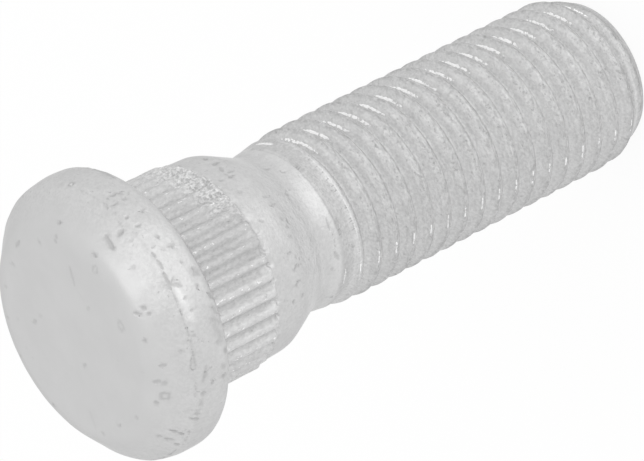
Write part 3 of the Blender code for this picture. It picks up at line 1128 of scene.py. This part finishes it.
class Zone(Enum):
    """Parts of the stud whose skin differs."""

    WHOLE = "everywhere"
    SIDE = "all but the outer face"
    TEETH = "serrated band"
    # Painted highlight: the serration tops on the side where the light falls are painted pale
    TOPS = "tops of the serrations along one side, rubbed pale in handling"
    RIDGES = "tops of the serrations"
    FLANKS = "slopes of the serrations"
    GROOVES = "grooves between the serrations"
    # Ragged bumps and painted highlight: the serration tips on one side get a bump and are painted
    # pale
    TIPS = "far ends of the serrations along one side, left ragged by the die"
    ROOTS = "roots of the thread"
    THREAD = "thread"
    CRESTS = "crests of the thread"
    FLOORS = "floor of the thread's roots"
    # Painted highlight: these slopes are painted pale on the side where the light falls
    SLOPES = "slopes of the thread below its crests, rubbed pale along one side"
    # Painted highlight: the feet of the slopes are painted pale on the next side
    FEET = "feet of those slopes, pale along the next side"
    # Painted glints: bright flecks low on the slopes along one side
    RUBBED = "flecks low on the slopes along one side, rubbed bright by the dies"
    # Painted glints: bright spots on the crests along another side
    NIPPED = "crests along another side, nipped bright where the stud lay on others"
    WAIST = "slope from the collar to the waist"
    FLARE = "flare below the waist, just before the thread"
    START = "first shallow turn of the thread, left dull"
    END = "tapered end of the thread"


@dataclass(frozen=True)
class PlatedSteel:
    """Cold-forged and rolled steel under a thin dull zinc plate.

    The plate gives an even pale grey with a broad soft shine. Forging leaves the sides blotched and
    pitted, coining leaves the outer face smooth, and rolling leaves the crests ragged. Most hollows
    are painted lighter to lift their shade and the thread's root floors darker, and some sides of
    the teeth and thread are painted pale or bright as highlights and glints.
    """

    dark: str = "#9D9D9D"
    bright: str = "#FFFFFF"
    level: float = 0.425
    stain_tone: float = -0.36
    stain_relief: float = -0.004
    roughness: float = 0.4
    edge_tint: float = 0.78
    grain_crispness: float = 0.6
    grain_shift: tuple[float, float, float] = (0.013, 0.007, 0.003)
    grains: tuple[tuple[Zone, Grain], ...] = (
        (Zone.WHOLE, Grain(2.6, tone=0.013, detail=3.0)),
        (Zone.SIDE, Grain(0.8, tone=0.021, relief=0.01, detail=3.0)),
        # The plate's crystals are about 0.02 mm, too fine to show, and are drawn ten times coarser
        (Zone.SIDE, Grain(0.22, tone=0.034, relief=0.004)),
        (Zone.SIDE, Grain(0.34, tone=-0.17, low=0.66, high=0.74, one_sided=True)),
        # Die lines run along the teeth, drawn as coarse as the picture can hold
        (Zone.TEETH, Grain(0.16, tone=0.05, relief=0.003, stretch=(1.0, 1.0, 0.5))),
        (Zone.RIDGES, Grain(0.18, tone=0.36, low=0.6, high=0.66, stretch=(1.0, 1.0, 0.5),
                            one_sided=True)),
        (Zone.THREAD, Grain(0.2, tone=0.06, relief=0.005, stretch=(1.0, 1.0, 1.6))),
        (Zone.CRESTS, Grain(0.5, tone=0.08, relief=0.008, low=0.4, high=0.6,
                            stretch=(1.0, 1.0, 4.0))),
        (Zone.SLOPES, Grain(0.6, tone=0.07)),
        (Zone.SLOPES, Grain(0.2, tone=-0.18, relief=-0.004, low=0.56, high=0.64, one_sided=True)),
        # Painted glints: bright flecks on the thread's slopes and bright spots on its crests, each
        # on one side
        (Zone.RUBBED, Grain(0.24, tone=1.1, low=0.4, high=0.46, detail=3.0, one_sided=True)),
        (Zone.NIPPED, Grain(0.3, tone=0.5, low=0.42, high=0.5, one_sided=True)),
        # Pale spots with a ragged bump on the serration tips: partly bumps, partly painted
        # highlight
        (Zone.TIPS, Grain(0.16, tone=0.16, relief=0.012, low=0.4, high=0.6, detail=3.0,
                          stretch=(1.0, 1.0, 0.7))),
    )
    # Painted light and shade: the grooves, flanks, roots and waist are painted lighter to lift
    # their shade, the roots' floors darker as shade, and the lit tops, slopes, feet and tips and
    # the flare lighter as highlights
    tones: tuple[tuple[Zone, float], ...] = (
        (Zone.TEETH, -0.035), (Zone.TOPS, 0.11), (Zone.RIDGES, 0.05), (Zone.THREAD, -0.03),
        (Zone.GROOVES, 0.05), (Zone.FLANKS, 0.07), (Zone.ROOTS, 0.19), (Zone.FLOORS, -0.08),
        (Zone.CRESTS, -0.08), (Zone.SLOPES, 0.065), (Zone.FEET, 0.1),
        (Zone.WAIST, 0.1), (Zone.FLARE, 0.05), (Zone.TIPS, 0.04), (Zone.START, -0.045),
        (Zone.END, -0.09))
    rough: tuple[tuple[Zone, float], ...] = (
        (Zone.TEETH, 0.28), (Zone.THREAD, 0.12), (Zone.ROOTS, 0.16), (Zone.START, 0.08))

    def zones(self, add: Callable[..., Node],
              place: NodeSocket) -> dict[Zone, Node]:
        """Adds the masks of the zones.

        Args:
            add: Adds a node to the material's tree.
            place: The Object coordinates.

        Returns:
            The masks, by zone.
        """
        height = add(SEPARATE, (place,)).outputs[2]
        flat = add(VECTOR_MATH, (place, (1.0, 1.0, 0.0)), operation="MULTIPLY")
        outward = add(VECTOR_MATH, (flat,), operation="NORMALIZE")
        crest, hollow, across = (add("ShaderNodeAttribute", attribute_name=name).outputs["Fac"]
                                 for name in (CREST, HOLLOW, FLANK))

        def band(start: float, full: float, last: float = 0.0, gone: float = 0.0) -> Node:
            """Makes a mask of a stretch of the axis, in mm of depth.

            Args:
                start: Where it leaves 0.
                full: Where it reaches 1.
                last: Where it leaves 1 again, or 0 where it goes on to the end.
                gone: Where it is back at 0.

            Returns:
                The mask.
            """
            rise = add(MAP_RANGE, (height, (STUD_LENGTH - start) * MM, (STUD_LENGTH - full) * MM))
            return add(MINUS, (rise, band(last, gone))) if last else rise

        def stripe(turn: float, none: float, full: float) -> Node:
            """Makes a mask that rises towards one turn.

            Args:
                turn: The turn in degrees.
                none: Cosine of the angle off from it at which the mask leaves 0.
                full: Cosine of the angle off from it at which the mask reaches 1.

            Returns:
                The mask.
            """
            way = (math.cos(math.radians(turn)), -math.sin(math.radians(turn)), 0.0)
            facing = add(VECTOR_MATH, (outward, way), operation="DOT_PRODUCT")
            return add(MAP_RANGE, (facing.outputs["Value"], none, full))

        def strip(none: float, full: float, last: float, gone: float) -> Node:
            """Makes a mask of a strip along the groove, in shares of a pitch above the crest.

            Args:
                none: Where it leaves 0.
                full: Where it reaches 1.
                last: Where it leaves 1 again.
                gone: Where it is back at 0.

            Returns:
                The mask.
            """
            rise, fall = (add(MAP_RANGE, (across, a, b)) for a, b in ((none, full), (gone, last)))
            both = add(TIMES, (rise, fall))
            return add(TIMES, (both, band(18.2, 18.5)))

        masks = {
            Zone.SIDE: band(0.1, 1.6), Zone.TEETH: band(4.7, 4.9, 10.75, 10.95),
            Zone.THREAD: band(17.25, 17.6), Zone.WAIST: band(13.0, 14.5, 15.2, 16.1),
            Zone.FLARE: band(16.3, 16.9, 17.15, 17.35), Zone.START: band(17.2, 17.4, 18.2, 18.5),
            Zone.END: band(42.2, 43.2), Zone.CRESTS: add(MAP_RANGE, (crest, 0.7, 0.95)),
            Zone.FLOORS: strip(0.38, 0.45, 0.55, 0.62)}
        teeth = masks[Zone.TEETH]
        grooves = add(TIMES, (hollow, teeth))
        ridges = add(MINUS, (teeth, grooves))
        tips = add(TIMES, (stripe(40, 0.75, 0.95), band(8.4, 9.4)))
        raised = add(MINUS, (1.0, grooves))
        slopes = add(TIMES, (raised, grooves))
        masks |= {Zone.GROOVES: grooves, Zone.RIDGES: ridges}
        # One-sided masks for the painted highlights and glints: the lit tops, slopes, feet and
        # tips, and the glints
        for zone, pair in {
                Zone.ROOTS: (hollow, masks[Zone.THREAD]), Zone.TIPS: (tips, teeth),
                Zone.TOPS: (ridges, stripe(124, 0.86, 0.97)), Zone.FLANKS: (slopes, 4.0),
                Zone.RUBBED: (stripe(33, 0.85, 1.0), strip(0.24, 0.31, 0.35, 0.42)),
                Zone.SLOPES: (stripe(86, 0.6, 0.92), strip(0.05, 0.1, 0.22, 0.28)),
                Zone.FEET: (stripe(124, 0.8, 0.95), strip(0.26, 0.31, 0.41, 0.46)),
                Zone.NIPPED: (stripe(138, 0.99, 0.998), strip(0.04, 0.07, 0.1, 0.13))}.items():
            masks[zone] = add(TIMES, pair)
        return masks

    def build(self) -> Material:
        """Builds the material.

        Returns:
            The material.
        """
        # To the eye: a pale, slightly blotched grey with a broad dull shine and no mirror in it
        material, add = node_material("zinc_plated_forged_steel")
        place = add("ShaderNodeTexCoord").outputs["Object"]
        stain = add("ShaderNodeAttribute", attribute_name=STAIN).outputs["Fac"]
        zones = self.zones(add, place)
        # The marks darken the tone, and the nicks' painted glints lighten it
        tone = add(TIMES_PLUS, (stain, self.stain_tone, self.level))
        for zone, step in self.tones:
            tone = add(TIMES_PLUS, (zones[zone], step, tone))
        relief = add(TIMES, (stain, self.stain_relief))
        for number, (zone, grain) in enumerate(self.grains):
            moved = add("ShaderNodeMapping", {
                "Vector": place, "Location": tuple(step * number for step in self.grain_shift),
                "Scale": grain.stretch})
            shape = add(NOISE, {"Vector": moved, "Scale": per_mm(grain.size),
                                "Detail": grain.detail, "Roughness": self.grain_crispness})
            # One-sided spots thin out towards the edge of their zone, the others fade there
            if zone in zones and grain.one_sided:
                shape = add(TIMES, (shape, zones[zone]))
            shape = add(MAP_RANGE, (shape, grain.low, grain.high, 0.0 if grain.one_sided else -1.0))
            if zone in zones and not grain.one_sided:
                shape = add(TIMES, (shape, zones[zone]))
            if grain.tone:
                tone = add(TIMES_PLUS, (shape, grain.tone, tone))
            if grain.relief:
                relief = add(TIMES_PLUS, (shape, grain.relief, relief))
        colour = add(MIX, {"Factor": tone, 6: linear_colour(self.dark),
                           7: linear_colour(self.bright)}, data_type="RGBA")
        # The plate is duller where it is dark and glossier where it is pale, painted highlights and
        # glints included
        roughness = add(MAP_RANGE, (tone, 0.2, 0.9, self.roughness + 0.06, self.roughness - 0.08))
        for zone, step in self.rough:
            roughness = add(TIMES_PLUS, (zones[zone], step, roughness))
        bump = add("ShaderNodeBump", {"Height": relief, "Strength": 1.0, "Distance": MM})
        shader = add("ShaderNodeBsdfPrincipled", {
            "Base Color": colour.outputs[2], "Metallic": 1.0, "Roughness": roughness,
            "Specular Tint": (*[self.edge_tint] * 3, 1.0), "Normal": bump})
        add("ShaderNodeOutputMaterial", (shader,))
        return material


@dataclass
class WheelStud:
    """The whole stud: its zones sewn into one forging, worn, dressed and placed in the frame."""

    head: ForgedHead = field(default_factory=ForgedHead)
    band: SerratedBand = field(default_factory=SerratedBand)
    neck: PlainNeck = field(default_factory=PlainNeck)
    thread: RolledThread = field(default_factory=RolledThread)
    end: ThreadedEnd = field(default_factory=ThreadedEnd)
    finish: PlatedSteel = field(default_factory=PlatedSteel)

    def skin(self, steel: Material) -> Skin:
        """Sews the zones together from the head down.

        Args:
            steel: The stud's material.

        Returns:
            The stud's whole skin.
        """
        turned, rolled = TurnedSurface(), RolledSurface()
        whole = self.head.skin(turned, steel)
        for zone in (self.band.skin(turned, steel), self.neck.skin(turned, steel),
                     self.thread.skin(rolled, steel), self.end.skin(turned, steel)):
            whole = whole.sew(zone)
        return whole

    def build(self) -> Object:
        """Builds the piece, rides it on the frame and lets it stand for the CAD node.

        Returns:
            The stud's object.
        """
        steel = self.finish.build()
        skin = self.skin(steel)
        mesh = bpy.data.meshes.new("wheel_stud_forging")
        mesh.from_pydata([tuple(p) for p in skin.points], [], skin.faces)
        for name, values in skin.shares.items():
            mesh.attributes.new(name, "FLOAT", "POINT").data.foreach_set("value", values)
        bm = bmesh.new()
        bm.from_mesh(mesh)
        bmesh.ops.recalc_face_normals(bm, faces=bm.faces)
        profile = self.head.outline().points() + self.neck.outline().points()
        thread = self.thread
        profile += [(thread.blank_radius, thread.blank_depth),
                    (thread.crest_radius, thread.blank_depth + thread.run_out)]
        wear = Wear(self.head.face_marks() + self.head.side_marks() + self.head.crease_marks()
                    + self.neck.marks() + self.thread.marks(), profile)
        plain = len(bm.verts)
        wear.refine(bm)
        log.info("forging: %d points, %d of them for marks", len(bm.verts), len(bm.verts) - plain)
        wear.press(bm)
        bm.to_mesh(mesh)
        open_edges = sum(1 for edge in bm.edges if not edge.is_manifold)
        triangles = sum(len(face.verts) - 2 for face in bm.faces)
        bm.free()
        mesh.shade_smooth()
        mesh.materials.clear()
        mesh.materials.append(steel)
        stud = new_object("wheel_stud_forging", mesh)
        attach(stud, BODY)
        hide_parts(NODE)
        log.info("forging: %d triangles, %d open edges", triangles, open_edges)
        return stud


@dataclass
class SoftStudio:
    """Plain pale floor, white surround and broad soft lamps."""

    floor_size: float = 6.0
    white: str = "#FFFFFF"
    matt: str = "#F6F6F6"
    floor_white: float = 0.9

    def floor(self) -> Object:
        """Lays a matt floor that looks white and keeps the stud's shadow.

        Returns:
            The floor's object.
        """
        # To the eye: plain white paint without shine
        material, add = node_material("matt_white_floor")
        path = add("ShaderNodeLightPath").outputs
        eye = add(LARGER, (path["Is Camera Ray"], path["Is Glossy Ray"]))
        seen = add(LARGER, (eye, path["Is Transmission Ray"]))
        share = add(TIMES, (seen, self.floor_white))
        matt = add("ShaderNodeBsdfDiffuse", {"Color": linear_colour(self.matt)})
        white = add("ShaderNodeEmission", {"Color": linear_colour(self.white), "Strength": 1.0})
        mix = add("ShaderNodeMixShader", (share, matt, white))
        add("ShaderNodeOutputMaterial", (mix,))
        half = self.floor_size / 2
        mesh = bpy.data.meshes.new("floor")
        corners = ((-half, -half, 0.0), (half, -half, 0.0), (half, half, 0.0), (-half, half, 0.0))
        mesh.from_pydata(corners, [], [(0, 1, 2, 3)])
        mesh.materials.append(material)
        floor = new_object("floor", mesh)
        # The lamps reach below the floor, which doesn't block them
        floor.visible_glossy = False
        floor.visible_shadow = False
        return floor

    def surround(self) -> None:
        """Sets an even white surround."""
        world = bpy.data.worlds.new("white_surround")
        world.use_nodes = True
        world.node_tree.nodes.clear()
        add = partial(add_node, world.node_tree)
        light = add("ShaderNodeBackground", {"Color": linear_colour(self.white), "Strength": 1.0})
        add("ShaderNodeOutputWorld", (light,))
        bpy.context.scene.world = world

    def lamp(self, name: str, azimuth: float, elevation: float, distance: float, size: float,
             radiance: float) -> None:
        """Hangs a round soft lamp that faces the middle of the stud.

        Args:
            name: The lamp's name.
            azimuth: Degrees round from -Y towards +X.
            elevation: Degrees above the horizon.
            distance: Metres from the stud.
            size: Width of the lamp, in metres.
            radiance: How bright its face is, where 1 is the surround.
        """
        data = bpy.data.lights.new(name, "AREA")
        data.shape = "DISK"
        data.size = size
        # A disk gives its power times 4 over pi squared, over its bounding area, as radiance
        data.energy = radiance * math.pi * math.pi * size * size / 4
        lamp = new_object(name, data)
        a, e = math.radians(azimuth), math.radians(elevation)
        way = Vector((math.sin(a) * math.cos(e), -math.cos(a) * math.cos(e), math.sin(e)))
        lamp.location = Vector((0.0, 0.0, STUD_LENGTH / 2 * MM)) + way * distance
        lamp.rotation_mode = "QUATERNION"
        lamp.rotation_quaternion = way.to_track_quat("Z", "Y")
        lamp.visible_camera = False

    def build(self) -> None:
        """Builds the floor, the surround and the lamps."""
        self.floor()
        self.surround()
        self.lamp("front_lamp", azimuth=15.0, elevation=-2.0, distance=0.8, size=1.1, radiance=0.38)
        self.lamp("high_lamp", azimuth=34.0, elevation=62.0, distance=0.8, size=0.5, radiance=0.6)
        log.info("studio: floor, white surround and lamps")


@dataclass
class PhotoCamera:
    """Camera at the photograph's place, as fitted to the stud's outline there."""

    lens: float = 300.12
    sensor: float = 36.0
    nearest: float = 0.01
    farthest: float = 20.0
    elevation: float = 34.2
    roll: float = 117.0746
    right: float = -15.238
    up: float = -6.440
    ahead: float = 328.591

    def build(self) -> Object:
        """Builds the camera.

        Returns:
            The camera's object.
        """
        e, psi = math.radians(self.elevation), math.radians(self.roll)
        level = Vector((1.0, 0.0, 0.0))
        upright = Vector((0.0, math.sin(e), math.cos(e)))
        forward = Vector((0.0, math.cos(e), -math.sin(e)))
        right = level * math.cos(psi) - upright * math.sin(psi)
        up = level * math.sin(psi) + upright * math.cos(psi)
        data = bpy.data.cameras.new("photo_camera")
        data.lens = self.lens
        data.sensor_width = self.sensor
        data.clip_start = self.nearest
        data.clip_end = self.farthest
        camera = new_object("photo_camera", data)
        head = Vector((0.0, 0.0, STUD_LENGTH))
        place = (head - right * self.right - up * self.up - forward * self.ahead) * MM
        camera.matrix_world = Matrix.Translation(place) @ Matrix(
            (right, up, -forward)).transposed().to_4x4()
        bpy.context.scene.camera = camera
        log.info("camera: %.1f mm lens, %.0f x %.0f picture", self.lens, PHOTO_WIDTH, PHOTO_HEIGHT)
        return camera


def main() -> None:
    """Builds the stud, the studio and the camera."""
    logging.basicConfig(level=logging.INFO, format="%(name)s: %(message)s", force=True)
    bpy.context.scene.view_settings.view_transform = "Standard"
    WheelStud().build()
    SoftStudio().build()
    PhotoCamera().build()


if __name__ == "__main__":
    main()
